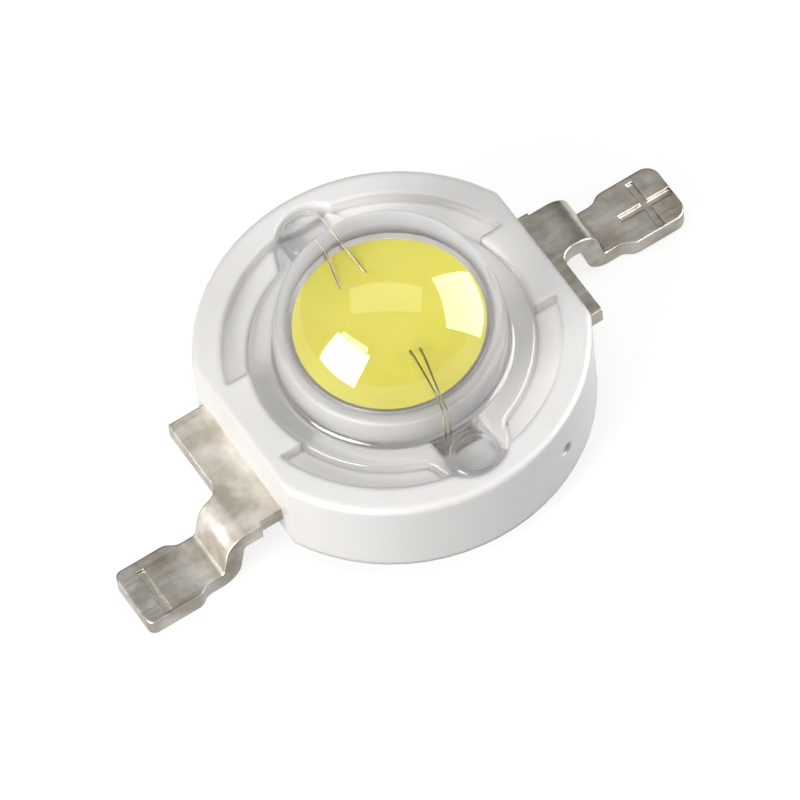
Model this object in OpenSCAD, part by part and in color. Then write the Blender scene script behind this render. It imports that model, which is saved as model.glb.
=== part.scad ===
// High power LED: white round housing, clear dome lens, heat slug and two bent leads.
// Millimetres. Z = 0 is the slug's underside, X runs along the leads, Y toward the filling ports.

/* [Housing] */
// outside diameter of the white body
body_d = 8.0; // [7.5:0.1:8.5]
// distance across the two flats that face the leads
body_flat = 7.17; // [6.9:0.01:7.6]
// height of the body's underside above the slug's underside
body_z0 = 0.67; // [0.4:0.01:1]
// height of the rim
rim_z = 2.70; // [2.4:0.01:3]
// rounding of the rim's outer edge
rim_round = 0.12; // [0.05:0.01:0.25]
// inside diameter of the rim
rim_in_d = 6.82; // [6.6:0.01:7.1]
// height of the ledge inside the rim
ledge_z = 2.42; // [2.3:0.01:2.6]
// half width of the bridges that join the rim to the seat behind each flat
bridge_w = 1.0; // [0.7:0.05:1.3]
// height of the seat that the lens flange rests on
seat_z = 2.28; // [2.1:0.01:2.4]
// inside diameter of that seat
seat_in_d = 4.60; // [4.2:0.05:5]
// height of the moulded floor inside the seat
floor_z = 1.75; // [1.5:0.01:1.9]
// width of the channel from the floor to each port
channel_w = 1.10; // [0.9:0.05:1.4]
// height of the channel's floor
channel_z = 1.90; // [1.8:0.01:2]
// how far out each channel runs
channel_end = 3.45; // [3.2:0.05:3.6]
// width of the window over each bond pad
window_w = 0.92; // [0.8:0.02:1.1]
// where the window starts and ends along Y
window_in = 1.90; // [1.8:0.02:2]
window_out = 2.60; // [2.4:0.02:2.8]
// outside diameter and top of the ring moulded round the slug's neck
collar_ring_d = 3.24; // [3.1:0.02:3.4]
collar_ring_z = 2.80; // [2.6:0.02:2.84]
// gate mark on the side: diameter, depth, height and angle round the body
gate_d = 0.28; // [0.1:0.02:0.3]
gate_depth = 0.20; // [0.04:0.02:0.24]
gate_z = 1.70; // [1.6:0.02:2]
gate_deg = -64; // [-80:1:-50]

/* [Lens] */
// dome radius
dome_r = 2.35; // [2.1:0.01:2.6]
// height of the dome's centre
dome_z = 3.12; // [2.9:0.01:3.3]
// radius of the fillet where the dome meets the flange
dome_foot = 0.12; // [0.05:0.01:0.25]
// flange diameter
flange_d = 5.75; // [5.5:0.01:5.9]
// top of the flange
flange_z = 2.55; // [2.45:0.01:2.7]
// rounding of the flange's top edge
flange_round = 0.10; // [0.05:0.01:0.14]
// radius of each ear that carries a filling port
ear_r = 0.82; // [0.7:0.01:0.95]
// distance of the ear's centre from the middle
ear_y = 2.81; // [2.7:0.01:3]
// fillet between ear and flange
ear_fillet = 0.40; // [0.2:0.05:0.6]
// distance of the port's centre from the middle
port_y = 3.11; // [3:0.01:3.2]
// port diameter
port_d = 0.84; // [0.7:0.01:1]
// outside diameter and height of the collar round the port
collar_d = 1.08; // [1:0.02:1.2]
collar_h = 0.06; // [0.02:0.01:0.1]
// radius and centre height of the hollow under the dome
hollow_r = 2.05; // [1.95:0.05:2.15]
hollow_z = 2.85; // [2.7:0.05:3]
// how far the silicone stands below the collar's top in each port, and how far it dips in the middle
port_fill_low = 0.03; // [0:0.01:0.06]
port_fill_dip = 0.05; // [0.02:0.01:0.08]

/* [Heat slug] */
// diameter and top of the slug's base
slug_d = 6.0; // [5.6:0.1:6.4]
slug_base_z = 0.90; // [0.7:0.05:1]
// chamfer of the base's lower edge
slug_edge = 0.10; // [0.05:0.01:0.2]
// diameter and top of the slug's neck
neck_d = 2.68; // [2.64:0.02:2.8]
neck_z = 2.86; // [2.7:0.02:2.9]
// reflector cup: mouth, floor and depth
cup_d = 2.56; // [2.4:0.02:2.6]
cup_floor_d = 1.70; // [1.6:0.05:2]
cup_depth = 0.46; // [0.36:0.02:0.6]

/* [Leads] */
// sheet thickness of both leads
lead_t = 0.40; // [0.3:0.01:0.5]
// top of the level plate beside the body
plate_z = 1.47; // [1.3:0.01:1.6]
// top of the solder foot
foot_z = 0.50; // [0.45:0.01:0.6]
// outer radius of the upper bend and inner radius of the lower bend
bend_out = 0.50; // [0.45:0.01:0.6]
bend_in = 0.10; // [0.05:0.01:0.2]
// slope of the leg between the bends, from level
leg_deg = 78; // [70:1:86]
// width of the neck that is bent
lead_neck_w = 1.12; // [1:0.01:1.3]
// step from the neck out to the foot's sides
foot_flare = 0.15; // [0.1:0.01:0.2]
// length of that step along the lead
flare_len = 0.40; // [0.3:0.02:0.5]
// fillet between plate and neck
lead_fillet = 0.30; // [0.1:0.02:0.4]
// inner and outer radius of the arc inside the body
arc_in = 2.22; // [2.1:0.01:2.3]
arc_out = 2.80; // [2.6:0.01:2.9]
// inner end and half width of the bond pad
pad_in = 2.02; // [1.95:0.01:2.1]
pad_w = 0.40; // [0.3:0.01:0.5]
// depth and width of the polarity marks
mark_depth = 0.06; // [0.03:0.01:0.1]
mark_w = 0.15; // [0.1:0.01:0.2]

/* [Cathode lead] */
// reach of the plate and of the foot from the middle
k_plate = 4.42; // [4.2:0.01:4.6]
k_foot = 6.92; // [6.8:0.01:7.3]
// where the upper bend starts
k_bend = 4.48; // [4.4:0.01:4.7]
// the plate's two sides and the neck's inner side
k_side_a = -1.55; // [-1.7:0.01:-1]
k_side_b = 1.38; // [1.3:0.01:1.7]
k_neck = 0.38; // [0.3:0.01:0.5]
// where the foot reaches full width, and its corner radius
k_wide = 5.82; // [5.7:0.01:6]
k_corner = 0.16; // [0.1:0.01:0.3]
// minus mark: distance from the middle, offset off the foot's centre line, length
k_mark_u = 6.44; // [6.3:0.01:6.5]
k_mark_v = 0.08; // [0:0.01:0.1]
k_mark_len = 1.12; // [1:0.01:1.2]

/* [Anode lead] */
// reach of the plate and of the foot from the middle
a_plate = 4.18; // [4.1:0.01:4.6]
a_foot = 7.17; // [6.8:0.01:7.3]
// where the upper bend starts
a_bend = 4.61; // [4.4:0.01:4.7]
// the plate's two sides and the neck's inner side
a_side_a = -1.16; // [-1.7:0.01:-1]
a_side_b = 1.61; // [1.3:0.01:1.7]
a_neck = 0.43; // [0.3:0.01:0.5]
// where the foot reaches full width, and its corner radius
a_wide = 5.95; // [5.7:0.01:6]
a_corner = 0.30; // [0.1:0.01:0.3]
// plus mark: distance from the middle, offset off the foot's centre line, two lengths
a_mark_u = 6.54; // [6.4:0.01:6.6]
a_mark_v = -0.05; // [-0.1:0.01:0.1]
a_mark_len = 1.22; // [1:0.01:1.3]

/* [Chip] */
// side and height of the chip
die_w = 1.00; // [0.8:0.02:1.2]
die_h = 0.12; // [0.08:0.01:0.2]
// thickness and side of the bond layer under it
attach_h = 0.03; // [0.02:0.01:0.05]
attach_w = 1.08; // [1:0.02:1.2]
// rise of the cast phosphor above the cup's mouth
mound_h = 0.07; // [0.05:0.01:0.15]
// diameter of the bond wires and of their balls
wire_d = 0.03; // [0.02:0.005:0.05]
ball_d = 0.08; // [0.06:0.01:0.09]
ball_h = 0.03; // [0.02:0.01:0.04]

/* [Cathode wires] */
// how high the wires arch above the phosphor, and how far from the chip's bond they get there
k_rise = 0.10; // [0.08:0.01:0.16]
k_arch = 0.20; // [0.1:0.02:0.3]
// first wire: place of its ball on the chip, where it crosses the cup's edge, where it lands on the pad
k_a_x = 0.07; // [0:0.01:0.1]
k_a_y = 0.38; // [0.3:0.01:0.42]
k_a_cross = -0.03; // [-0.06:0.01:-0.02]
k_a_land = -0.14; // [-0.2:0.01:-0.13]
// second wire: the same places
k_b_x = 0.20; // [0.19:0.01:0.3]
k_b_y = 0.42; // [0.3:0.01:0.42]
k_b_cross = 0.03; // [0.02:0.01:0.12]
k_b_land = -0.03; // [-0.04:0.01:0.1]

/* [Anode wires] */
// height of these lower wires above the cup's edge, and where they come out of the phosphor
a_rise = 0.06; // [0.05:0.01:0.1]
a_out_rise = 0.02; // [0.01:0.005:0.03]
a_out_y = 0.92; // [0.8:0.02:1]
// first wire: place of its ball on the chip, where it crosses the cup's edge, where it lands on the pad
a_a_x = -0.30; // [-0.4:0.01:-0.1]
a_a_y = 0.40; // [0.3:0.01:0.42]
a_a_cross = 0.00; // [-0.06:0.01:0.06]
a_a_land = 0.06; // [0:0.01:0.08]
// second wire: the same places
a_b_x = 0.28; // [0.1:0.01:0.4]
a_b_y = 0.40; // [0.3:0.01:0.42]
a_b_cross = 0.20; // [0.16:0.01:0.3]
a_b_land = 0.22; // [0.19:0.01:0.3]

/* [Clearances] */
// gap between flange or ear and the housing round it
lens_gap = 0.04; // [0.02:0.01:0.08]

/* [Hidden] */
$fn = 96;
$fs = 0.1;
eps = 0.5;
cup_z = neck_z - cup_depth;
die_z = cup_z + attach_h;
die_top = die_z + die_h;
mound_z = neck_z + mound_h;
mound_r = (mound_h * mound_h + cup_d * cup_d / 4) / (2 * mound_h);
leg_s = sin(leg_deg);
leg_c = cos(leg_deg);
leg_z1 = plate_z - bend_out * (1 - leg_c);
leg_drop = leg_z1 - foot_z - bend_in * (1 - leg_c);
leg_run = leg_drop / tan(leg_deg);
wire_clear = 0.08;
fill_top = flange_z + collar_h - port_fill_low;
fill_r = (port_fill_dip * port_fill_dip + port_d * port_d / 4) / (2 * port_fill_dip);

// Slug: turned base, neck and reflector cup
module slug_body() {
    cylinder(d1 = slug_d - 2 * slug_edge, d2 = slug_d, h = slug_edge);
    translate([0, 0, slug_edge])
        cylinder(d = slug_d, h = slug_base_z - slug_edge);
    cylinder(d = neck_d, h = neck_z);
}

module cup_space(over) {
    translate([0, 0, cup_z])
        cylinder(d1 = cup_floor_d, d2 = cup_d, h = cup_depth);
    if (over)
        translate([0, 0, neck_z])
            cylinder(d = cup_d, h = eps);
}

module heat_slug() {
    color([0.80, 0.80, 0.78])
        difference() {
            slug_body();
            cup_space(true);
        }
}

// Lead outline seen from above: u runs outward, v across toward the neck side
module flare(len_u, w, r) {
    difference() {
        square([len_u / 2, w / 2]);
        translate([0, r])
            circle(r = r);
    }
    intersection() {
        translate([len_u / 2, 0])
            square([len_u / 2, w]);
        translate([len_u, w - r])
            circle(r = r);
    }
}

module inner_fillet(r) {
    difference() {
        square([r, r]);
        translate([r, r])
            circle(r = r);
    }
}

// Inner corner filled by an arc in six flats, because the upper bend starts inside it
module bent_fillet(r) {
    polygon(concat([[0, 0]], [for (a = [0:15:90]) [r - r * sin(a), r - r * cos(a)]]));
}

module corner_cut(r) {
    difference() {
        square([r + 0.1, r + 0.1]);
        circle(r = r);
    }
}

module foot_plan(u0, u1, v0, v1, r) {
    difference() {
        translate([u0, v0])
            square([u1 - u0, v1 - v0]);
        translate([u1 - r, v1 - r])
            corner_cut(r);
        translate([u1 - r, v0 + r])
            mirror([0, 1])
                corner_cut(r);
    }
}

module lead_plan(plate, foot, side_a, side_b, neck, wide, corner) {
    nb = neck + lead_neck_w;
    fl = flare_len;
    fr = (fl * fl + foot_flare * foot_flare) / (4 * foot_flare);
    // plate
    translate([arc_in + 0.1, side_a])
        square([plate - arc_in - 0.1, side_b - side_a]);
    // neck up to the foot
    translate([plate - 0.3, neck])
        square([wide - plate + 0.4, lead_neck_w]);
    // fillet in the corner between plate and neck
    translate([plate, neck])
        mirror([0, 1])
            bent_fillet(lead_fillet);
    // flares to the foot
    translate([wide - fl, nb])
        flare(fl, foot_flare, fr);
    translate([wide - fl, neck])
        mirror([0, 1])
            flare(fl, foot_flare, fr);
    foot_plan(wide, foot, neck - foot_flare, nb + foot_flare, corner);
}

// Lead edge-on: plate, upper bend, leg, lower bend and foot
module lead_profile(bend, foot) {
    u1 = bend + bend_out * leg_s;
    u2 = u1 + leg_run;
    u3 = u2 + bend_in * leg_s;
    translate([0, plate_z - lead_t])
        square([bend, lead_t]);
    intersection() {
        translate([bend, plate_z - bend_out])
            difference() {
                circle(r = bend_out);
                circle(r = bend_out - lead_t);
            }
        polygon([[bend, plate_z - bend_out], [bend, plate_z + 0.1],
            [bend + 0.9 * leg_s, plate_z + 0.1], [bend + 0.9 * leg_s, plate_z - bend_out + 0.9 * leg_c]]);
    }
    // level leg between the two bend ends
    polygon([[u1, leg_z1], [u2, leg_z1 - leg_drop],
        [u2 - lead_t * leg_s, leg_z1 - leg_drop - lead_t * leg_c], [u1 - lead_t * leg_s, leg_z1 - lead_t * leg_c]]);
    intersection() {
        translate([u3, foot_z + bend_in])
            difference() {
                circle(r = bend_in + lead_t);
                circle(r = bend_in);
            }
        polygon([[u3, foot_z + bend_in], [u3, foot_z - lead_t - 0.1],
            [u3 - 0.9 * leg_s, foot_z - lead_t - 0.1], [u3 - 0.9 * leg_s, foot_z + bend_in - 0.9 * leg_c]]);
    }
    translate([u3, foot_z - lead_t])
        square([foot - u3 + 0.2, lead_t]);
}

// Arc inside the body from the plate round to the bond pad
module lead_arc() {
    translate([0, 0, plate_z - lead_t])
        difference() {
            cylinder(r = arc_out, h = lead_t);
            translate([0, 0, -0.1])
                cylinder(r = arc_in, h = lead_t + 0.2);
            translate([-body_d / 2, -body_d / 2, -0.1])
                cube([body_d, body_d / 2, lead_t + 0.2]);
            translate([-body_d / 2 - pad_w, -body_d / 2, -0.1])
                cube([body_d / 2, body_d, lead_t + 0.2]);
        }
    translate([-pad_w, pad_in, plate_z - lead_t])
        cube([2 * pad_w, arc_out - pad_in - 0.06, lead_t]);
}

module lead_form(plate, foot, bend, side_a, side_b, neck, wide, corner) {
    intersection() {
        translate([0, body_d / 2, 0])
            rotate([90, 0, 0])
                linear_extrude(body_d)
                    lead_profile(bend, foot);
        linear_extrude(rim_z)
            lead_plan(plate, foot, side_a, side_b, neck, wide, corner);
    }
    lead_arc();
}

module groove(cx, cy, lx, ly) {
    translate([cx - lx / 2, cy - ly / 2, foot_z - mark_depth])
        cube([lx, ly, mark_depth + 0.2]);
}

module cathode_solid(marked) {
    rotate([0, 0, 180])
        difference() {
            lead_form(k_plate, k_foot, k_bend, k_side_a, k_side_b, k_neck, k_wide, k_corner);
            if (marked)
                groove(k_mark_u, k_neck + lead_neck_w / 2 + k_mark_v, mark_w, k_mark_len);
        }
}

module anode_solid(marked) {
    difference() {
        lead_form(a_plate, a_foot, a_bend, a_side_a, a_side_b, a_neck, a_wide, a_corner);
        if (marked) {
            groove(a_mark_u, a_neck + lead_neck_w / 2 + a_mark_v, a_mark_len, mark_w);
            groove(a_mark_u, a_neck + lead_neck_w / 2 + a_mark_v, mark_w, a_mark_len);
        }
    }
}

module cathode_lead() {
    color([0.72, 0.69, 0.62])
        cathode_solid(true);
}

module anode_lead() {
    color([0.72, 0.69, 0.62])
        anode_solid(true);
}

// Flange outline with the two ears, grown by g for the pocket round it
module ear_plan(g) {
    er = ear_r + g;
    fr = flange_d / 2 + g;
    f = ear_fillet;
    dy = ((fr + f) * (fr + f) - (er + f) * (er + f) + ear_y * ear_y) / (2 * ear_y);
    dx = sqrt((fr + f) * (fr + f) - dy * dy);
    for (s = [-1, 1])
        scale([1, s]) {
            translate([0, ear_y])
                circle(r = er);
            difference() {
                polygon([[0, ear_y - er], [-dx, dy], [0, ear_y + 0.1], [dx, dy]]);
                translate([dx, dy])
                    circle(r = f);
                translate([-dx, dy])
                    circle(r = f);
            }
        }
}

module ports(d, z0, h) {
    for (s = [-1, 1])
        translate([0, s * port_y, z0])
            cylinder(d = d, h = h);
}

// Housing: one moulding round slug and leads
module housing_blank() {
    rotate_extrude()
        difference() {
            translate([0, body_z0])
                square([body_d / 2, rim_z - body_z0]);
            translate([body_d / 2 - rim_round, rim_z - rim_round])
                difference() {
                    square([rim_round + 0.1, rim_round + 0.1]);
                    circle(r = rim_round);
                }
        }
}

module neck_ring() {
    translate([0, 0, floor_z - 0.2])
        cylinder(d = collar_ring_d, h = collar_ring_z - floor_z + 0.2);
}

module gate_mark() {
    rotate([0, 0, gate_deg])
        translate([body_d / 2 - gate_depth, 0, gate_z])
            rotate([0, 90, 0])
                cylinder(d = gate_d, h = 1);
}

module housing() {
    color([0.93, 0.93, 0.91])
        difference() {
            union() {
                difference() {
                    intersection() {
                        housing_blank();
                        translate([-body_flat / 2, -body_d, 0])
                            cube([body_flat, 2 * body_d, body_d / 2]);
                    }
                    // ledge inside the rim, broken by a bridge behind each flat
                    difference() {
                        translate([0, 0, ledge_z])
                            cylinder(d = rim_in_d, h = 1);
                        translate([-body_d / 2, -bridge_w, 0])
                            cube([body_d, 2 * bridge_w, body_d / 2]);
                    }
                    // pocket for the flange and its ears
                    translate([0, 0, seat_z])
                        cylinder(d = flange_d + 2 * lens_gap, h = 1);
                    translate([0, 0, seat_z])
                        linear_extrude(1)
                            ear_plan(lens_gap);
                    gel_floor_space();
                    gate_mark();
                }
                neck_ring();
            }
            slug_body();
            cathode_solid(false);
            anode_solid(false);
        }
}

// Space under the lens down to the moulded floor, the channels and the pad windows
module gel_floor_space() {
    translate([0, 0, floor_z])
        cylinder(d = seat_in_d, h = 2);
    for (s = [-1, 1])
        scale([1, s, 1]) {
            translate([-channel_w / 2, 1.5, channel_z])
                cube([channel_w, channel_end - 1.5, 2]);
            translate([-window_w / 2, window_in, plate_z])
                cube([window_w, window_out - window_in, 2]);
        }
}

// Lens: turned dome and flange, two ears with open ports, hollow underneath
module lens_profile() {
    translate([0, seat_z])
        square([flange_d / 2 - flange_round, flange_z - seat_z]);
    translate([0, seat_z])
        square([flange_d / 2, flange_z - flange_round - seat_z]);
    translate([flange_d / 2 - flange_round, flange_z - flange_round])
        circle(r = flange_round);
    translate([0, seat_z])
        square([dome_r, dome_z - seat_z]);
    translate([dome_r, flange_z])
        inner_fillet(dome_foot);
    intersection() {
        translate([0, dome_z])
            circle(r = dome_r);
        translate([0, dome_z - 0.01])
            square([dome_r + 0.1, dome_r + 0.1]);
    }
}

module hollow_space() {
    translate([0, 0, seat_z - 0.5])
        cylinder(r = hollow_r, h = hollow_z - seat_z + 0.5);
    translate([0, 0, hollow_z])
        sphere(r = hollow_r);
}

module lens() {
    color([0.90, 0.94, 0.96, 0.35])
        difference() {
            union() {
                rotate_extrude()
                    lens_profile();
                translate([0, 0, seat_z])
                    linear_extrude(flange_z - seat_z)
                        ear_plan(0);
                ports(collar_d, seat_z, flange_z + collar_h - seat_z);
            }
            hollow_space();
            ports(port_d, seat_z - 1, 3);
        }
}

// Silicone that stands in each port, with a hollow surface
module port_fill() {
    for (s = [-1, 1])
        translate([0, s * port_y, 0])
            rotate_extrude()
                difference() {
                    translate([0, seat_z])
                        square([port_d / 2, fill_top - seat_z]);
                    translate([0, fill_top - port_fill_dip + fill_r])
                        circle(r = fill_r, $fn = 720);
                }
}

// Clear fill between lens, housing, slug and phosphor
module gel_blank() {
    intersection() {
        union() {
            translate([0, 0, hollow_z])
                intersection() {
                    sphere(r = hollow_r);
                    translate([-3, -3, 0])
                        cube([6, 6, 3]);
                }
            translate([0, 0, floor_z])
                cylinder(r = hollow_r, h = hollow_z - floor_z);
            intersection() {
                gel_floor_space();
                translate([-body_d / 2, -body_d / 2, 0])
                    cube([body_d, body_d, seat_z]);
            }
            port_fill();
        }
        cylinder(r = 4, h = 6);
    }
}

module mound() {
    rotate_extrude() {
        polygon([[0, cup_z], [cup_floor_d / 2, cup_z], [cup_d / 2, neck_z], [0, neck_z]]);
        intersection() {
            translate([0, mound_z - mound_r])
                circle(r = mound_r, $fn = 720);
            translate([0, neck_z])
                square([cup_d / 2, 1]);
        }
    }
}

// Bond wire: ball on the chip, arched run, flat end on the pad
module rod(a, b) {
    v = b - a;
    l = norm(v);
    translate(a)
        rotate([0, acos(v[2] / l), atan2(v[1], v[0])])
            cylinder(d = wire_d, h = l, $fn = 24);
}

module bond_wire(p) {
    n = len(p);
    translate([p[0][0], p[0][1], die_top])
        cylinder(d = ball_d, h = ball_h, $fn = 24);
    for (i = [0:n - 2])
        rod(p[i], p[i + 1]);
    // joints a little thicker than the wire
    for (i = [1:n - 2])
        translate(p[i])
            sphere(d = wire_d * 1.2, $fn = 24);
    translate([p[n - 1][0], p[n - 1][1], plate_z])
        cylinder(d = ball_d, h = ball_h, $fn = 24);
}

// Run over the cup's edge and the ring round it, then down through the window to the pad.
// s is -1 toward the cathode pad and 1 toward the anode pad.
function wire_end(s, x1, z1, x2) = [
    [x1, s * neck_d / 2, z1],
    [x1 * 0.6 + x2 * 0.4, s * (collar_ring_d / 2 + wire_clear), collar_ring_z + wire_clear / 2],
    [x2, s * (pad_in - wire_clear / 4), seat_z - wire_clear],
    [x2, s * (pad_in + wire_clear), plate_z + ball_h / 2]
];

// A cathode wire stands up out of the phosphor over the chip and arches to the cup's edge
function cathode_path(x0, y0, x1, x2) = concat([
    [x0, -y0, die_top + ball_h / 2],
    [x0, -y0, mound_z + 0.5 * k_rise],
    [x0 * 0.8 + x1 * 0.2, -(y0 + k_arch), mound_z + k_rise]
], wire_end(-1, x1, mound_z + k_rise, x2));

// An anode wire lies lower and leaves the phosphor only where that thins toward the cup's edge
function anode_path(x0, y0, x1, x2) = concat([
    [x0, y0, die_top + ball_h / 2],
    [x0, y0, (die_top + neck_z) / 2],
    [x0 * 0.4 + x1 * 0.6, a_out_y, neck_z + a_out_rise]
], wire_end(1, x1, neck_z + a_rise, x2));

path_ka = cathode_path(k_a_x, k_a_y, k_a_cross, k_a_land);
path_kb = cathode_path(k_b_x, k_b_y, k_b_cross, k_b_land);
path_aa = anode_path(a_a_x, a_a_y, a_a_cross, a_a_land);
path_ab = anode_path(a_b_x, a_b_y, a_b_cross, a_b_land);

module wires_ghost() {
    bond_wire(path_ka);
    bond_wire(path_kb);
    bond_wire(path_aa);
    bond_wire(path_ab);
}

module cathode_wire_a() {
    color([0.75, 0.62, 0.30])
        bond_wire(path_ka);
}

module cathode_wire_b() {
    color([0.75, 0.62, 0.30])
        bond_wire(path_kb);
}

module anode_wire_a() {
    color([0.75, 0.62, 0.30])
        bond_wire(path_aa);
}

module anode_wire_b() {
    color([0.75, 0.62, 0.30])
        bond_wire(path_ab);
}

module die_block() {
    translate([-die_w / 2, -die_w / 2, die_z])
        cube([die_w, die_w, die_h]);
}

module attach_block() {
    translate([-attach_w / 2, -attach_w / 2, cup_z])
        cube([attach_w, attach_w, attach_h]);
}

module led_die() {
    color([0.35, 0.45, 0.60])
        die_block();
}

module die_attach() {
    color([0.60, 0.60, 0.60])
        attach_block();
}

module phosphor() {
    color([0.90, 0.85, 0.20])
        difference() {
            mound();
            die_block();
            attach_block();
            wires_ghost();
        }
}

module silicone_gel() {
    color([0.92, 0.95, 0.95, 0.35])
        difference() {
            gel_blank();
            neck_ring();
            slug_body();
            mound();
            wires_ghost();
        }
}

housing();
lens();
silicone_gel();
heat_slug();
cathode_lead();
anode_lead();
led_die();
die_attach();
phosphor();
cathode_wire_a();
cathode_wire_b();
anode_wire_a();
anode_wire_b();
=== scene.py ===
import math

import bmesh
import bpy
from mathutils import Matrix, Vector


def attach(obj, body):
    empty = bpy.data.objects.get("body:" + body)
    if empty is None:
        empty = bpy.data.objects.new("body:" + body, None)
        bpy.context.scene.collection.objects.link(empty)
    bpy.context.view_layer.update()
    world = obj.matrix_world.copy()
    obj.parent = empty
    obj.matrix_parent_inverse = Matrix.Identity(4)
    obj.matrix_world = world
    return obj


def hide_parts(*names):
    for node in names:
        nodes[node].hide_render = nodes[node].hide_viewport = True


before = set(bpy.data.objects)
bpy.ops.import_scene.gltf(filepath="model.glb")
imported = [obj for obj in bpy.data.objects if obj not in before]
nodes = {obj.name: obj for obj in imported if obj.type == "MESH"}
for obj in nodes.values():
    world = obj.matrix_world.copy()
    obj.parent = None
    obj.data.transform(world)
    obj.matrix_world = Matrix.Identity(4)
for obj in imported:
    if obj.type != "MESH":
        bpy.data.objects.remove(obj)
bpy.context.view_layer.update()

# Camera
# A long lens close to the bead, turned a little on its own axis. It looks from the front left, 59
# degrees above the board. Lengths are in millimetres, and MM brings them to metres.
MM = 0.001
CAMERA_AZIMUTH = math.radians(-26.096)
CAMERA_HEIGHT = math.radians(58.977)
CAMERA_ROLL = math.radians(-7.570)
CAMERA_DISTANCE = 200.0
CAMERA_SCALE = 50.165
AIM_ACROSS, AIM_UP, AIM_Z = 0.1343, -0.9506, 2.20
SENSOR, PICTURE = 36.0, 800
NEAREST, FARTHEST = 2, 20000
toward = Vector((math.sin(CAMERA_AZIMUTH) * math.cos(CAMERA_HEIGHT),
                 -math.cos(CAMERA_AZIMUTH) * math.cos(CAMERA_HEIGHT),
                 math.sin(CAMERA_HEIGHT)))
level = Vector((math.cos(CAMERA_AZIMUTH), math.sin(CAMERA_AZIMUTH), 0))
raised = toward.cross(level)
across = level * math.cos(CAMERA_ROLL) + raised * math.sin(CAMERA_ROLL)
upward = raised * math.cos(CAMERA_ROLL) - level * math.sin(CAMERA_ROLL)
aim = Vector((0, 0, AIM_Z)) + across * AIM_ACROSS + upward * AIM_UP
eye = (aim + toward * CAMERA_DISTANCE) * MM
lens_data = bpy.data.cameras.new("photo_camera")
lens_data.sensor_width = SENSOR
lens_data.lens = SENSOR * CAMERA_SCALE * CAMERA_DISTANCE / PICTURE
lens_data.clip_start = NEAREST * MM
lens_data.clip_end = FARTHEST * MM
camera = bpy.data.objects.new("photo_camera", lens_data)
camera.matrix_world = Matrix(((across.x, upward.x, toward.x, eye.x),
                              (across.y, upward.y, toward.y, eye.y),
                              (across.z, upward.z, toward.z, eye.z),
                              (0, 0, 0, 1)))
bpy.context.scene.collection.objects.link(camera)
bpy.context.scene.camera = camera
bpy.context.scene.view_settings.view_transform = "Standard"


# Studio
# A white paper sheet on a table in a dim room. A long soft box hangs overhead, the main window is low
# on the left and a second one low on the right, and glass and metal mirror both as bright panes.
def new_object(name, mesh_or_data):
    made = bpy.data.objects.new(name, mesh_or_data)
    bpy.context.scene.collection.objects.link(made)
    return made


def mesh_from(name, verts, faces):
    mesh = bpy.data.meshes.new(name)
    mesh.from_pydata([Vector(v) * MM for v in verts], [], faces)
    mesh.update()
    return new_object(name, mesh)


def new_material(name):
    mat = bpy.data.materials.new(name)
    mat.use_nodes = True
    tree = mat.node_tree
    tree.nodes.clear()
    return mat, tree


def node(tree, kind, **values):
    # a value goes to the socket of that name, or else to the node's own setting
    made = tree.nodes.new(kind)
    for key, value in values.items():
        if key in made.inputs:
            made.inputs[key].default_value = value
        else:
            setattr(made, key, value)
    return made


# the top lies a hair under the slug, so that no two faces share a plane
TABLE, TABLE_TOP = 900, -0.005
PAPER, PAPER_GLOW = 0.30, 0.80
table = mesh_from("table", [(-TABLE, -TABLE, TABLE_TOP), (TABLE, -TABLE, TABLE_TOP),
                            (TABLE, TABLE, TABLE_TOP), (-TABLE, TABLE, TABLE_TOP)],
                  [(0, 1, 2, 3)])
mat, tree = new_material("table_paper")
# the sheet looks white to the lens and in mirrors and glass, and lights the bead as grey paper
path = node(tree, "ShaderNodeLightPath")
seen = node(tree, "ShaderNodeMath", operation="MAXIMUM")
seen_too = node(tree, "ShaderNodeMath", operation="MAXIMUM")
tree.links.new(path.outputs["Is Camera Ray"], seen.inputs[0])
tree.links.new(path.outputs["Is Glossy Ray"], seen.inputs[1])
tree.links.new(seen.outputs[0], seen_too.inputs[0])
tree.links.new(path.outputs["Is Transmission Ray"], seen_too.inputs[1])
lift = node(tree, "ShaderNodeMath", operation="MULTIPLY")
lift.inputs[1].default_value = PAPER_GLOW
tree.links.new(seen_too.outputs[0], lift.inputs[0])
paper = node(tree, "ShaderNodeBsdfDiffuse", Color=(PAPER, PAPER, PAPER, 1))
glow = node(tree, "ShaderNodeEmission", Color=(1, 1, 1, 1))
tree.links.new(lift.outputs[0], glow.inputs["Strength"])
both = node(tree, "ShaderNodeAddShader")
tree.links.new(paper.outputs[0], both.inputs[0])
tree.links.new(glow.outputs[0], both.inputs[1])
out = node(tree, "ShaderNodeOutputMaterial")
tree.links.new(both.outputs[0], out.inputs["Surface"])
table.data.materials.append(mat)

ROOM_LOW = (0.08, 0.08, 0.08, 1)
ROOM_HIGH = (0.30, 0.295, 0.29, 1)
WALL_FOOT, WALL_HEAD = 0.50, 0.90
world = bpy.data.worlds.new("room")
bpy.context.scene.world = world
world.use_nodes = True
tree = world.node_tree
tree.nodes.clear()
place = node(tree, "ShaderNodeTexCoord")
axes = node(tree, "ShaderNodeSeparateXYZ")
tree.links.new(place.outputs["Generated"], axes.inputs[0])
rise = node(tree, "ShaderNodeValToRGB")
foot, head = rise.color_ramp.elements
foot.position, foot.color = WALL_FOOT, ROOM_LOW
head.position, head.color = WALL_HEAD, ROOM_HIGH
tree.links.new(axes.outputs["Z"], rise.inputs[0])
path = node(tree, "ShaderNodeLightPath")
room = node(tree, "ShaderNodeMix", data_type="RGBA")
tree.links.new(path.outputs["Is Camera Ray"], room.inputs["Factor"])
tree.links.new(rise.outputs["Color"], room.inputs["A"])
room.inputs["B"].default_value = (1, 1, 1, 1)
sky = node(tree, "ShaderNodeBackground", Strength=1.0)
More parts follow.
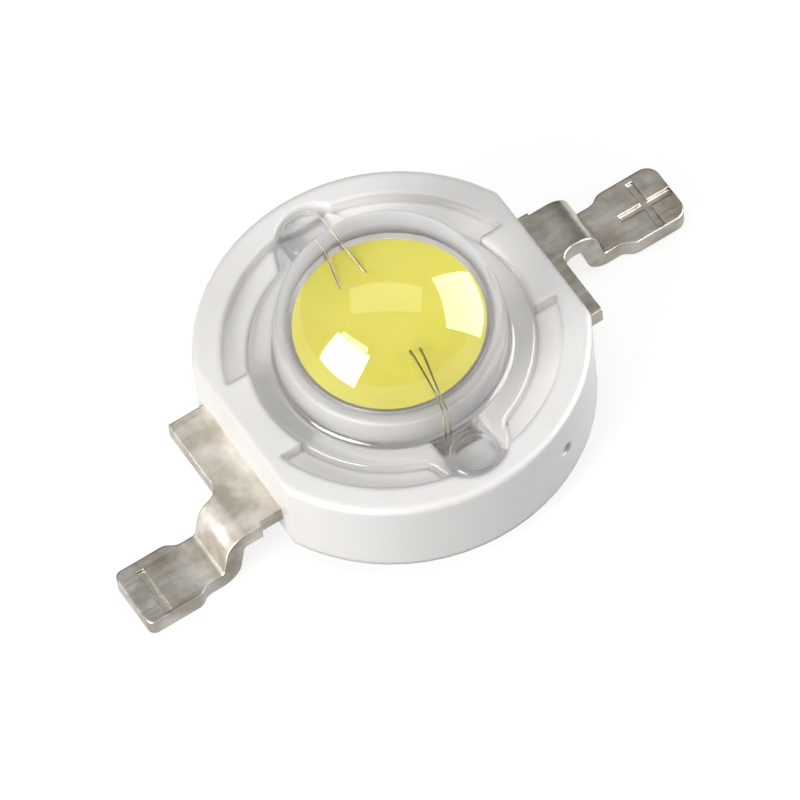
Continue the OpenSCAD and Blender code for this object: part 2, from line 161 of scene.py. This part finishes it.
tree.links.new(room.outputs["Result"], sky.inputs["Color"])
out = node(tree, "ShaderNodeOutputWorld")
tree.links.new(sky.outputs[0], out.inputs["Surface"])

LAMP_DISTANCE, LAMP_AIM, OVERHEAD = 300, 3, 89


def direction(azimuth, rise):
    a, e = math.radians(azimuth), math.radians(rise)
    return Vector((math.cos(a) * math.cos(e), math.sin(a) * math.cos(e), math.sin(e)))


def soft_box(name, azimuth, rise, size, watts, colour=(1, 1, 1)):
    ray = direction(azimuth, rise)
    data = bpy.data.lights.new(name, "AREA")
    data.shape = "RECTANGLE"
    data.size, data.size_y = size[0] * MM, size[1] * MM
    data.energy = watts
    data.color = colour
    lamp = new_object(name, data)
    lamp.location = (Vector((0, 0, LAMP_AIM)) + ray * LAMP_DISTANCE) * MM
    turned = ray.to_track_quat("Z", "Y")
    if rise > OVERHEAD:
        turned = Matrix.Rotation(math.radians(azimuth), 4, "Z").to_quaternion()
    lamp.rotation_mode = "QUATERNION"
    lamp.rotation_quaternion = turned


soft_box("ceiling_box", azimuth=-33, rise=90, size=(405, 156), watts=0.39)
soft_box("left_window_light", azimuth=196, rise=25, size=(160, 160), watts=0.82,
         colour=(1.0, 0.99, 0.975))
soft_box("right_window_light", azimuth=-25, rise=12, size=(160, 160), watts=0.40)

# bright panes that glass and metal mirror, and that light nothing dull
FIRST_BOUNCE = 0.5
DOME_MIDDLE, CARD_LOWEST = 4.6, 0.3


def window_card(name, corners, strength, colour):
    card = mesh_from(name, corners, [tuple(range(len(corners)))])
    mat, tree = new_material(name)
    path = node(tree, "ShaderNodeLightPath")
    first = node(tree, "ShaderNodeMath", operation="LESS_THAN")
    first.inputs[1].default_value = FIRST_BOUNCE
    tree.links.new(path.outputs["Diffuse Depth"], first.inputs[0])
    power = node(tree, "ShaderNodeMath", operation="MULTIPLY")
    power.inputs[1].default_value = strength
    tree.links.new(first.outputs[0], power.inputs[0])
    pane = node(tree, "ShaderNodeEmission", Color=colour)
    tree.links.new(power.outputs[0], pane.inputs["Strength"])
    out = node(tree, "ShaderNodeOutputMaterial")
    tree.links.new(pane.outputs[0], out.inputs["Surface"])
    card.data.materials.append(mat)
    card.visible_camera = card.visible_diffuse = False
    card.visible_transmission = card.visible_shadow = False


def card_corners(directions, distance, facing):
    # where rays from the dome's middle meet an upright sheet at that distance
    away = direction(facing, 0)
    corners = []
    for azimuth, rise in directions:
        ray = direction(azimuth, rise)
        corners.append(Vector((0, 0, DOME_MIDDLE)) + ray * (distance / ray.dot(away)))
    return [(c.x, c.y, max(c.z, CARD_LOWEST)) for c in corners]


LEFT_PANE = [(174.7, 32.9), (-141.4, 29.3), (-151.9, -6.5), (172.7, 0.6)]
RIGHT_PANE = [(-2.8, 41.9), (3.9, -0.6), (-20, -12.3), (-36, -15.2), (-52.6, 23.4)]
window_card("left_window", card_corners(LEFT_PANE, distance=36, facing=-166),
            strength=21, colour=(1, 1, 1, 1))
window_card("right_window", card_corners(RIGHT_PANE, distance=16, facing=-22),
            strength=11, colour=(1, 0.99, 0.95, 1))


def group(name, inputs, outputs):
    tree = bpy.data.node_groups.new(name, "ShaderNodeTree")
    for label, kind, value in inputs:
        socket = tree.interface.new_socket(label, in_out="INPUT", socket_type=kind)
        socket.default_value = value
    for label, kind in outputs:
        tree.interface.new_socket(label, in_out="OUTPUT", socket_type=kind)
    return tree, tree.nodes.new("NodeGroupInput"), tree.nodes.new("NodeGroupOutput")


def use(tree, made, **values):
    holder = tree.nodes.new("ShaderNodeGroup")
    holder.node_tree = made
    for key, value in values.items():
        holder.inputs[key.replace("_", " ")].default_value = value
    return holder


def principled(tree, **values):
    shader = tree.nodes.new("ShaderNodeBsdfPrincipled")
    for key, value in values.items():
        shader.inputs[key.replace("_", " ")].default_value = value
    out = tree.nodes.new("ShaderNodeOutputMaterial")
    tree.links.new(shader.outputs[0], out.inputs["Surface"])
    return shader


def feed(tree, source, made, label):
    tree.links.new(source, made.inputs[label])


def spread(tree, value, start=0.0, end=1.0, low=0.0, high=1.0):
    made = node(tree, "ShaderNodeMapRange")
    for label, setting in (("From Min", start), ("From Max", end), ("To Min", low), ("To Max", high)):
        made.inputs[label].default_value = setting
    tree.links.new(value, made.inputs["Value"])
    return made


def relief(tree, height, strength, distance, normal=None):
    bump = node(tree, "ShaderNodeBump", Strength=strength, Distance=distance)
    tree.links.new(height, bump.inputs["Height"])
    if normal:
        tree.links.new(normal, bump.inputs["Normal"])
    return bump.outputs["Normal"]


def place_along(tree, axis):
    # how far along that axis a point lies, in metres
    place = node(tree, "ShaderNodeTexCoord")
    parts = node(tree, "ShaderNodeSeparateXYZ")
    tree.links.new(place.outputs["Object"], parts.inputs[0])
    return parts.outputs[axis]


def two_tone(tree, mask, low, low_colour, high, high_colour):
    ramp = node(tree, "ShaderNodeValToRGB")
    for stop, position, colour in zip(ramp.color_ramp.elements, (low, high), (low_colour, high_colour)):
        stop.position = position
        stop.color = (*colour, 1)
    tree.links.new(mask, ramp.inputs[0])
    return ramp.outputs["Color"]


# cloudy patches and fine grain, both from noise in the piece's own coordinates
FLOAT, COLOUR = "NodeSocketFloat", "NodeSocketColor"
grain, gin, gout = group("cloud_and_grain",
                         [("Cloud Size", FLOAT, 400.0), ("Grain Size", FLOAT, 9000.0)],
                         [("Cloud", FLOAT), ("Grain", FLOAT)])
where = node(grain, "ShaderNodeTexCoord")
cloud = node(grain, "ShaderNodeTexNoise", Detail=3.0, Roughness=0.55)
fine = node(grain, "ShaderNodeTexNoise", Detail=2.0, Roughness=0.6)
for noise, size, label in ((cloud, "Cloud Size", "Cloud"), (fine, "Grain Size", "Grain")):
    grain.links.new(where.outputs["Object"], noise.inputs["Vector"])
    grain.links.new(gin.outputs[size], noise.inputs["Scale"])
    grain.links.new(noise.outputs["Fac"], gout.inputs[label])

NYLON_SHADE, NYLON = (0.83, 0.815, 0.795), (0.88, 0.87, 0.855)
CLOUD_LOW, CLOUD_HIGH = 0.30, 0.70
mat, tree = new_material("white_moulding")
shader = principled(tree, Roughness=0.42, Subsurface_Weight=0.12)
shader.inputs["Subsurface Radius"].default_value = (0.4 * MM, 0.4 * MM, 0.3 * MM)
shader.inputs["Subsurface Scale"].default_value = 1.0
speck = use(tree, grain, Cloud_Size=260.0, Grain_Size=14000.0)
white = two_tone(tree, speck.outputs["Cloud"], CLOUD_LOW, NYLON_SHADE, CLOUD_HIGH, NYLON)
feed(tree, white, shader, "Base Color")
soft = node(tree, "ShaderNodeBevel", samples=8, Radius=0.18 * MM)
eroded = relief(tree, speck.outputs["Grain"], strength=0.15, distance=0.004 * MM, normal=soft.outputs[0])
feed(tree, eroded, shader, "Normal")
nodes["housing"].material_slots[0].material = mat

# Leads
# Two legs stamped from 0.4 mm copper strip and silver plated, bent down to solder feet with the
# polarity pressed in. The plating has browned in patches, and faces that stand upright are drawn darker.
plate, gin, gout = group("silver_plate",
                         [("Clean", COLOUR, (0.78, 0.75, 0.70, 1)),
                          ("Tarnished", COLOUR, (0.50, 0.45, 0.38, 1)),
                          ("Patch Size", FLOAT, 900.0), ("Grain Size", FLOAT, 5200.0),
                          ("Cut Edge", FLOAT, 0.7), ("Smooth", FLOAT, 0.34), ("Rough", FLOAT, 0.54)],
                         [("Colour", COLOUR), ("Roughness", FLOAT), ("Height", FLOAT)])
PATCH_START, PATCH_END = 0.36, 0.66
UPRIGHT_START, UPRIGHT_END = 0.02, 0.12
ROLLING_LINES = (600.0, 9000.0, 9000.0)
marks = use(plate, grain)
plate.links.new(gin.outputs["Patch Size"], marks.inputs["Cloud Size"])
plate.links.new(gin.outputs["Grain Size"], marks.inputs["Grain Size"])
patch = spread(plate, marks.outputs["Cloud"], PATCH_START, PATCH_END)
metal = node(plate, "ShaderNodeMix", data_type="RGBA")
plate.links.new(patch.outputs[0], metal.inputs["Factor"])
plate.links.new(gin.outputs["Tarnished"], metal.inputs["A"])
plate.links.new(gin.outputs["Clean"], metal.inputs["B"])
# stretched noise gives the rolling lines of the strip
where = node(plate, "ShaderNodeTexCoord")
drawn = node(plate, "ShaderNodeMapping")
drawn.inputs["Scale"].default_value = ROLLING_LINES
plate.links.new(where.outputs["Object"], drawn.inputs["Vector"])
lines = node(plate, "ShaderNodeTexNoise", Scale=1.0, Detail=2.0)
plate.links.new(drawn.outputs[0], lines.inputs["Vector"])
# faces that stand upright are drawn darker
facing = node(plate, "ShaderNodeNewGeometry")
parts = node(plate, "ShaderNodeSeparateXYZ")
plate.links.new(facing.outputs["True Normal"], parts.inputs[0])
upright = node(plate, "ShaderNodeMath", operation="ABSOLUTE")
plate.links.new(parts.outputs["Z"], upright.inputs[0])
upright_dark = spread(plate, upright.outputs[0], UPRIGHT_START, UPRIGHT_END)
plate.links.new(gin.outputs["Cut Edge"], upright_dark.inputs["To Min"])
worn = node(plate, "ShaderNodeVectorMath", operation="SCALE")
plate.links.new(metal.outputs["Result"], worn.inputs[0])
plate.links.new(upright_dark.outputs[0], worn.inputs["Scale"])
plate.links.new(worn.outputs[0], gout.inputs["Colour"])
dull = spread(plate, lines.outputs["Fac"])
plate.links.new(gin.outputs["Smooth"], dull.inputs["To Min"])
plate.links.new(gin.outputs["Rough"], dull.inputs["To Max"])
plate.links.new(dull.outputs[0], gout.inputs["Roughness"])
both = node(plate, "ShaderNodeMath", operation="ADD")
plate.links.new(marks.outputs["Grain"], both.inputs[0])
plate.links.new(lines.outputs["Fac"], both.inputs[1])
plate.links.new(both.outputs[0], gout.inputs["Height"])

# painted shade darkens the leg from just before its bend, deepest over the cathode's bend and less on
# its foot, and the anode keeps only a trace
# the four places along the leg are shares of the way from its start to its end
LEG_START, LEG_END = 3.7 * MM, 5.7 * MM
BEND_START, BEND_FULL, BEND_END, FOOT_FULL = 0.42, 0.53, 0.72, 0.85
BEFORE_BEND = 0.97
FOOT_START, FOOT_END = 5.3 * MM, 5.8 * MM
FOOT_SMOOTH, FOOT_ROUGH = 0.27, 0.40
# columns: lead, painted light scale, painted shade over the bend and on the foot, smooth and rough
LEADS = (("cathode_lead", 1.02, 0.66, 0.87, 0.36, 0.50), ("anode_lead", 0.90, 1.0, 1.0, 0.25, 0.38))
for name, painted_light_scale, bend_shade, foot_shade, smooth, rough in LEADS:
    mat, tree = new_material("plated_" + name)
    shader = principled(tree, Metallic=1.0)
    skin = use(tree, plate, Clean=(0.84, 0.80, 0.73, 1), Tarnished=(0.52, 0.47, 0.39, 1),
               Patch_Size=1500.0, Grain_Size=5200.0, Cut_Edge=0.60)
    along = node(tree, "ShaderNodeMath", operation="ABSOLUTE")
    tree.links.new(place_along(tree, "X"), along.inputs[0])
    for label, near, far in (("Smooth", smooth, FOOT_SMOOTH), ("Rough", rough, FOOT_ROUGH)):
        worn = spread(tree, along.outputs[0], FOOT_START, FOOT_END, near, far)
        tree.links.new(worn.outputs[0], skin.inputs[label])
    leg = spread(tree, along.outputs[0], LEG_START, LEG_END)
    # a grey ramp of painted shade along the leg
    painted_shade_ramp = node(tree, "ShaderNodeValToRGB")
    stops = painted_shade_ramp.color_ramp.elements
    stops[0].color = (1, 1, 1, 1)
    for place, value in ((BEND_START, BEFORE_BEND), (BEND_FULL, bend_shade), (BEND_END, bend_shade),
                         (FOOT_FULL, foot_shade)):
        stops.new(place).color = (value, value, value, 1)
    stops[-1].color = (foot_shade, foot_shade, foot_shade, 1)
    tree.links.new(leg.outputs[0], painted_shade_ramp.inputs[0])
    shaded_skin = node(tree, "ShaderNodeVectorMath", operation="MULTIPLY")
    tree.links.new(skin.outputs["Colour"], shaded_skin.inputs[0])
    tree.links.new(painted_shade_ramp.outputs["Color"], shaded_skin.inputs[1])
    # the whole colour is scaled as painted light: the cathode a little lighter, the anode darker as if
    # in shade
    painted_light_scaled = node(tree, "ShaderNodeVectorMath", operation="SCALE", Scale=painted_light_scale)
    tree.links.new(shaded_skin.outputs[0], painted_light_scaled.inputs[0])
    feed(tree, painted_light_scaled.outputs[0], shader, "Base Color")
    feed(tree, skin.outputs["Roughness"], shader, "Roughness")
    soft = node(tree, "ShaderNodeBevel", samples=6, Radius=0.05 * MM)
    rolled = relief(tree, skin.outputs["Height"], strength=0.5, distance=0.008 * MM,
                    normal=soft.outputs[0])
    feed(tree, rolled, shader, "Normal")
    nodes[name].material_slots[0].material = mat

# Heat slug
# Turned copper slug, silver plated: a wide base under the body, a neck up into the dome and the
# reflector cup in its top. The lathe has left fine rings.
mat, tree = new_material("plated_slug")
shader = principled(tree, Metallic=1.0)
skin = use(tree, plate, Clean=(0.62, 0.60, 0.57, 1), Tarnished=(0.48, 0.46, 0.43, 1),
           Patch_Size=700.0, Grain_Size=6000.0, Cut_Edge=0.95)
feed(tree, skin.outputs["Colour"], shader, "Base Color")
feed(tree, skin.outputs["Roughness"], shader, "Roughness")
where = node(tree, "ShaderNodeTexCoord")
rings = node(tree, "ShaderNodeTexWave", wave_type="RINGS", rings_direction="Z", Scale=2600.0,
             Distortion=0.6)
tree.links.new(where.outputs["Object"], rings.inputs["Vector"])
feed(tree, relief(tree, rings.outputs["Fac"], strength=0.2, distance=0.004 * MM), shader, "Normal")
nodes["heat_slug"].material_slots[0].material = mat

# Chip and phosphor
# A square blue chip soldered in the cup, under cast silicone loaded with yellow phosphor powder. The
# powder fluoresces a little in daylight, and the even glow given to it here is painted light.
DEEP_YELLOW, BRIGHT_YELLOW, PAINTED_GLOW = (0.86, 0.78, 0.10), (0.91, 0.84, 0.135), 0.14
mat, tree = new_material("phosphor_resin")
shader = principled(tree, Roughness=0.55)
powder = use(tree, grain, Cloud_Size=1400.0, Grain_Size=16000.0)
yellow = two_tone(tree, powder.outputs["Cloud"], CLOUD_LOW, DEEP_YELLOW, CLOUD_HIGH, BRIGHT_YELLOW)
feed(tree, yellow, shader, "Base Color")
# a faint even glow in the yellow, painted light
feed(tree, yellow, shader, "Emission Color")
shader.inputs["Emission Strength"].default_value = PAINTED_GLOW
feed(tree, relief(tree, powder.outputs["Grain"], strength=0.2, distance=0.004 * MM), shader, "Normal")
nodes["phosphor"].material_slots[0].material = mat

CHIP_DARK, CHIP_BLUE = (0.10, 0.16, 0.28), (0.22, 0.30, 0.44)
mat, tree = new_material("chip_sapphire")
shader = principled(tree, Roughness=0.18)
cells = use(tree, grain, Cloud_Size=2600.0, Grain_Size=20000.0)
feed(tree, two_tone(tree, cells.outputs["Cloud"], 0.0, CHIP_DARK, 1.0, CHIP_BLUE), shader, "Base Color")
nodes["led_die"].material_slots[0].material = mat

SOLDER_DARK, SOLDER = (0.40, 0.40, 0.39), (0.58, 0.57, 0.55)
mat, tree = new_material("chip_solder")
shader = principled(tree, Metallic=1.0, Roughness=0.45)
cells = use(tree, grain, Cloud_Size=3000.0, Grain_Size=20000.0)
feed(tree, two_tone(tree, cells.outputs["Cloud"], 0.0, SOLDER_DARK, 1.0, SOLDER), shader, "Base Color")
nodes["die_attach"].material_slots[0].material = mat

# Bond wires
# Four gold wires, balled on the chip and pressed on the lead pads. The cathode pair stands clear of
# the phosphor and the anode pair lies in it until near its edge.
GOLD_SHADE, GOLD = (0.50, 0.42, 0.27), (0.64, 0.56, 0.39)
BACK_SHADE, BACK_START, BACK_END = 0.74, 0.0, 1.0 * MM
mat, tree = new_material("gold_wire")
shader = principled(tree, Metallic=1.0, Roughness=0.30)
cells = use(tree, grain, Cloud_Size=6000.0, Grain_Size=30000.0)
gold = two_tone(tree, cells.outputs["Cloud"], 0.0, GOLD_SHADE, 1.0, GOLD)
# the pair toward the back is drawn darker, painted shade
back_shade = spread(tree, place_along(tree, "Y"), BACK_START, BACK_END, 1.0, BACK_SHADE)
painted_light_scaled = node(tree, "ShaderNodeVectorMath", operation="SCALE")
tree.links.new(gold, painted_light_scaled.inputs[0])
tree.links.new(back_shade.outputs[0], painted_light_scaled.inputs["Scale"])
feed(tree, painted_light_scaled.outputs[0], shader, "Base Color")
for name in ("cathode_wire_a", "cathode_wire_b", "anode_wire_a", "anode_wire_b"):
    nodes[name].material_slots[0].material = mat

# Lens
# One clear moulding: a dome on a filleted foot, a flange with two ears, and a filling port through
# each ear. The silicone wets it, so the two are drawn as one clear body down to the floor.
DOME_R, DOME_Z, DOME_FOOT = 2.35, 3.12, 0.18
FLANGE_R, FLANGE_Z, FLANGE_EDGE = 2.875, 2.55, 0.10
EAR_R, EAR_Y, EAR_FILLET = 0.82, 2.81, 0.40
PORT_R, PORT_Y, COLLAR_R, COLLAR_H = 0.42, 3.11, 0.54, 0.06
FILL_LOW, FILL_DIP = 0.03, 0.05
SEAT_Z, FLOOR_Z, SEAT_R = 2.28, 1.75, 2.30
CHANNEL_W, CHANNEL_Z, CHANNEL_START, CHANNEL_END = 1.10, 1.90, 1.50, 3.45
WINDOW_W, WINDOW_Z, WINDOW_IN, WINDOW_OUT = 0.92, 1.47, 1.90, 2.60
COLLAR_ROOT, COLLAR_TURN, COLLAR_INSET = 0.02, 0.6, 0.03
DOME_CUT, ABOVE_PORT = 2.40, 3.4
DOME_START, DOME_TOP, FOOT_OUT, FOOT_IN = 0, 88, 262, 180
SUNK, LAP, STEP, MERGE = 0.012, 0.05, 0.004, 0.0005
SHARP_LENS = math.radians(32)


def lathe(bm, profile, steps=192, y=0.0):
    rings = []
    for r, z in profile:
        if r == 0:
            rings.append([bm.verts.new((0, y * MM, z * MM))])
        else:
            rings.append([bm.verts.new((r * math.cos(2 * math.pi * i / steps) * MM,
                                        (y + r * math.sin(2 * math.pi * i / steps)) * MM, z * MM))
                          for i in range(steps)])
    for a, b in zip(rings, rings[1:]):
        for i in range(steps):
            j = (i + 1) % steps
            if len(a) == 1:
                bm.faces.new((a[0], b[j], b[i]))
            elif len(b) == 1:
                bm.faces.new((a[i], a[j], b[0]))
            else:
                bm.faces.new((a[i], a[j], b[j], b[i]))


def arc(cx, cz, r, start, end, count):
    return [(cx + r * math.cos(math.radians(start + (end - start) * i / count)),
             cz + r * math.sin(math.radians(start + (end - start) * i / count)))
            for i in range(count + 1)]


def ear_outline():
    # flange circle, fillets and ear arcs, anticlockwise
    f = EAR_FILLET
    dy = ((FLANGE_R + f) ** 2 - (EAR_R + f) ** 2 + EAR_Y ** 2) / (2 * EAR_Y)
    dx = math.sqrt((FLANGE_R + f) ** 2 - dy ** 2)
    flange_a = math.degrees(math.atan2(dy, dx))
    ear_a = math.degrees(math.atan2(dy - EAR_Y, dx))
    quarter = arc(0, 0, FLANGE_R, 0, flange_a, 40)[:-1]
    quarter += arc(dx, dy, f, 180 + flange_a, 180 + ear_a, 10)[:-1]
    quarter += arc(0, EAR_Y, EAR_R, ear_a, 90, 26)
    left = [(-x, y) for x, y in reversed(quarter[:-1])]
    top = quarter + left[:-1]
    return top + [(-x, -y) for x, y in top]


def prism(bm, outline, levels):
    # each level is an inset and a height, and the outline is pulled in by the inset
    n = len(outline)
    rings = []
    for inset, z in levels:
        ring = []
        for i, (x, y) in enumerate(outline):
            (x0, y0), (x1, y1) = outline[i - 1], outline[(i + 1) % n]
            t = Vector((x1 - x0, y1 - y0)).normalized()
            ring.append(bm.verts.new(((x - t.y * inset) * MM, (y + t.x * inset) * MM, z * MM)))
        rings.append(ring)
    for a, b in zip(rings, rings[1:]):
        for i in range(n):
            j = (i + 1) % n
            bm.faces.new((a[i], a[j], b[j], b[i]))
    bm.faces.new(list(reversed(rings[0])))
    bm.faces.new(rings[-1])


def block(bm, half_width, y0, y1, z0, z1):
    prism(bm, [(-half_width, y0), (half_width, y0), (half_width, y1), (-half_width, y1)],
          [(0, z0), (0, z1)])


def shape(name, draw, *details, **more):
    bm = bmesh.new()
    draw(bm, *details, **more)
    bmesh.ops.recalc_face_normals(bm, faces=bm.faces)
    mesh = bpy.data.meshes.new(name)
    bm.to_mesh(mesh)
    bm.free()
    return new_object(name, mesh)


def combine(target, others, operation):
    for other in others:
        step = target.modifiers.new("step", "BOOLEAN")
        step.object = other
        step.operation = operation
        step.solver = "EXACT"
    bpy.context.view_layer.update()
    cut_body = target.evaluated_get(bpy.context.evaluated_depsgraph_get())
    shaped = bpy.data.meshes.new_from_object(cut_body)
    bm = bmesh.new()
    bm.from_mesh(shaped)
    bmesh.ops.remove_doubles(bm, verts=bm.verts, dist=MERGE * MM)
    bmesh.ops.dissolve_degenerate(bm, edges=bm.edges, dist=MERGE * MM)
    bm.to_mesh(shaped)
    bm.free()
    target.modifiers.clear()
    target.data = shaped
    for other in others:
        bpy.data.objects.remove(other)


def side_spaces(grow, top):
    # the two channels and the two pad windows, larger by grow
    spaces = []
    for s in (-1, 1):
        ends = sorted((s * CHANNEL_START, s * (CHANNEL_END + grow)))
        spaces.append(shape("channel", block, CHANNEL_W / 2 + grow, *ends, CHANNEL_Z - grow, top))
        ends = sorted((s * (WINDOW_IN - grow), s * (WINDOW_OUT + grow)))
        spaces.append(shape("window", block, WINDOW_W / 2 + grow, *ends, WINDOW_Z - grow,
                            CHANNEL_Z + LAP))
    return spaces


def dip_profile(low):
    # hollow surface of the silicone in a port
    top, steps = FLANGE_Z + COLLAR_H - FILL_LOW - low, 8
    return [(PORT_R * i / steps, top - FILL_DIP * (1 - (i / steps) ** 2)) for i in range(steps + 1)]


foot = arc(DOME_R + DOME_FOOT, FLANGE_Z + DOME_FOOT, DOME_FOOT, FOOT_OUT, FOOT_IN, 8)
optic = shape("lens_clear", lathe, [(0, DOME_CUT), (foot[0][0], DOME_CUT)] + foot
              + arc(0, DOME_Z, DOME_R, DOME_START, DOME_TOP, 44) + [(0, DOME_Z + DOME_R)])
rounded = arc(0, 0, FLANGE_EDGE, 0, 90, 5)
flange = shape("flange", prism, ear_outline(), [(0, SEAT_Z - SUNK)]
               + [(FLANGE_EDGE - x, FLANGE_Z - FLANGE_EDGE + z) for x, z in rounded])
collars = []
dips = []
for s in (-1, 1):
    circle = [(x, s * PORT_Y + y) for x, y in arc(0, 0, COLLAR_R, 0, 360, 64)[:-1]]
    collars.append(shape("collar", prism, circle,
                         [(0, SEAT_Z + COLLAR_ROOT), (0, FLANGE_Z + COLLAR_H * COLLAR_TURN),
                          (COLLAR_INSET, FLANGE_Z + COLLAR_H)]))
    dips.append(shape("dip", lathe, dip_profile(0) + [(PORT_R, ABOVE_PORT), (0, ABOVE_PORT)],
                      steps=64, y=s * PORT_Y))
floor = shape("floor", lathe, [(0, FLOOR_Z - SUNK), (SEAT_R + SUNK, FLOOR_Z - SUNK),
                               (SEAT_R + SUNK, SEAT_Z + LAP), (0, SEAT_Z + LAP)])
combine(optic, [flange, floor] + side_spaces(SUNK, SEAT_Z + LAP - STEP) + collars, "UNION")
combine(optic, dips, "DIFFERENCE")
optic.data.shade_smooth()
optic.data.set_sharp_from_angle(angle=SHARP_LENS)
mat, tree = new_material("clear_lens")
shader = principled(tree, Roughness=0.015, IOR=1.5, Transmission_Weight=1.0)
shader.inputs["Base Color"].default_value = (0.985, 0.985, 0.98, 1)
haze = use(tree, grain, Cloud_Size=600.0, Grain_Size=5000.0)
feed(tree, relief(tree, haze.outputs["Cloud"], strength=0.02, distance=0.004 * MM), shader, "Normal")
# part of each lamp's light goes straight through the flange and a little through the dome, as the
# renderer finds bent paths poorly
FLANGE_SHARE, DOME_SHARE = 0.55, 0.06
SHARE_START, SHARE_END = 3.2 * MM, 3.8 * MM
out = [n for n in tree.nodes if n.type == "OUTPUT_MATERIAL"][0]
path = node(tree, "ShaderNodeLightPath")
flat = spread(tree, place_along(tree, "Z"), SHARE_START, SHARE_END, FLANGE_SHARE, DOME_SHARE)
share = node(tree, "ShaderNodeMath", operation="MULTIPLY")
tree.links.new(path.outputs["Is Shadow Ray"], share.inputs[0])
tree.links.new(flat.outputs[0], share.inputs[1])
through = node(tree, "ShaderNodeBsdfTransparent")
mixed = node(tree, "ShaderNodeMixShader")
tree.links.new(share.outputs[0], mixed.inputs["Fac"])
tree.links.new(shader.outputs[0], mixed.inputs[1])
tree.links.new(through.outputs[0], mixed.inputs[2])
tree.links.new(mixed.outputs[0], out.inputs["Surface"])
optic.data.materials.clear()
optic.data.materials.append(mat)
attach(optic, "root")
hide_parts("lens")

# Silicone fill
# Clear gel that fills the hollow of the lens, cast through one port. It bends light as the lens
# does, so only a trace of haze tells it from the lens.
GEL_R, GEL_Z = 2.04, 2.85
RING_R, RING_Z, NECK_R, NECK_Z = 1.62, 2.80, 1.34, 2.86
PHOSPHOR_R, PHOSPHOR_RISE = 1.28, 0.07
NEAR, BELOW_FLOOR, PLUG_ROOT, GEL_TOP = 0.015, 1.5, 0.1, 86
SHARP_GEL = math.radians(30)
gel = shape("gel_fill", lathe, [(0, FLOOR_Z + NEAR), (SEAT_R - NEAR, FLOOR_Z + NEAR),
                                (SEAT_R - NEAR, SEAT_Z - NEAR), (GEL_R, SEAT_Z - NEAR)]
            + arc(0, GEL_Z, GEL_R, 0, GEL_TOP, 30) + [(0, GEL_Z + GEL_R)], steps=96)
core = shape("core", lathe, [(0, BELOW_FLOOR), (RING_R + NEAR, BELOW_FLOOR),
                             (RING_R + NEAR, RING_Z + NEAR), (NECK_R + NEAR, RING_Z + NEAR),
                             (NECK_R + NEAR, NECK_Z + NEAR), (PHOSPHOR_R, NECK_Z + NEAR),
                             (0, NECK_Z + PHOSPHOR_RISE + NEAR)], steps=96)
plug_top = [(r * (1 - NEAR / PORT_R), z) for r, z in reversed(dip_profile(NEAR))]
plug = [(0, SEAT_Z - PLUG_ROOT), (PORT_R - NEAR, SEAT_Z - PLUG_ROOT)] + plug_top
plugs = [shape("port_plug", lathe, plug, steps=48, y=s * PORT_Y) for s in (-1, 1)]
combine(gel, side_spaces(-NEAR, SEAT_Z - NEAR - STEP) + plugs, "UNION")
combine(gel, [core], "DIFFERENCE")
gel.data.shade_smooth()
gel.data.set_sharp_from_angle(angle=SHARP_GEL)
MOST_HAZE = 0.03
mat, tree = new_material("gel_haze")
shader = principled(tree)
haze = use(tree, grain, Cloud_Size=500.0, Grain_Size=8000.0)
trace = spread(tree, haze.outputs["Cloud"], high=MOST_HAZE)
feed(tree, trace.outputs[0], shader, "Alpha")
feed(tree, haze.outputs["Grain"], shader, "Roughness")
gel.data.materials.clear()
gel.data.materials.append(mat)
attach(gel, "root")
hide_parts("silicone_gel")
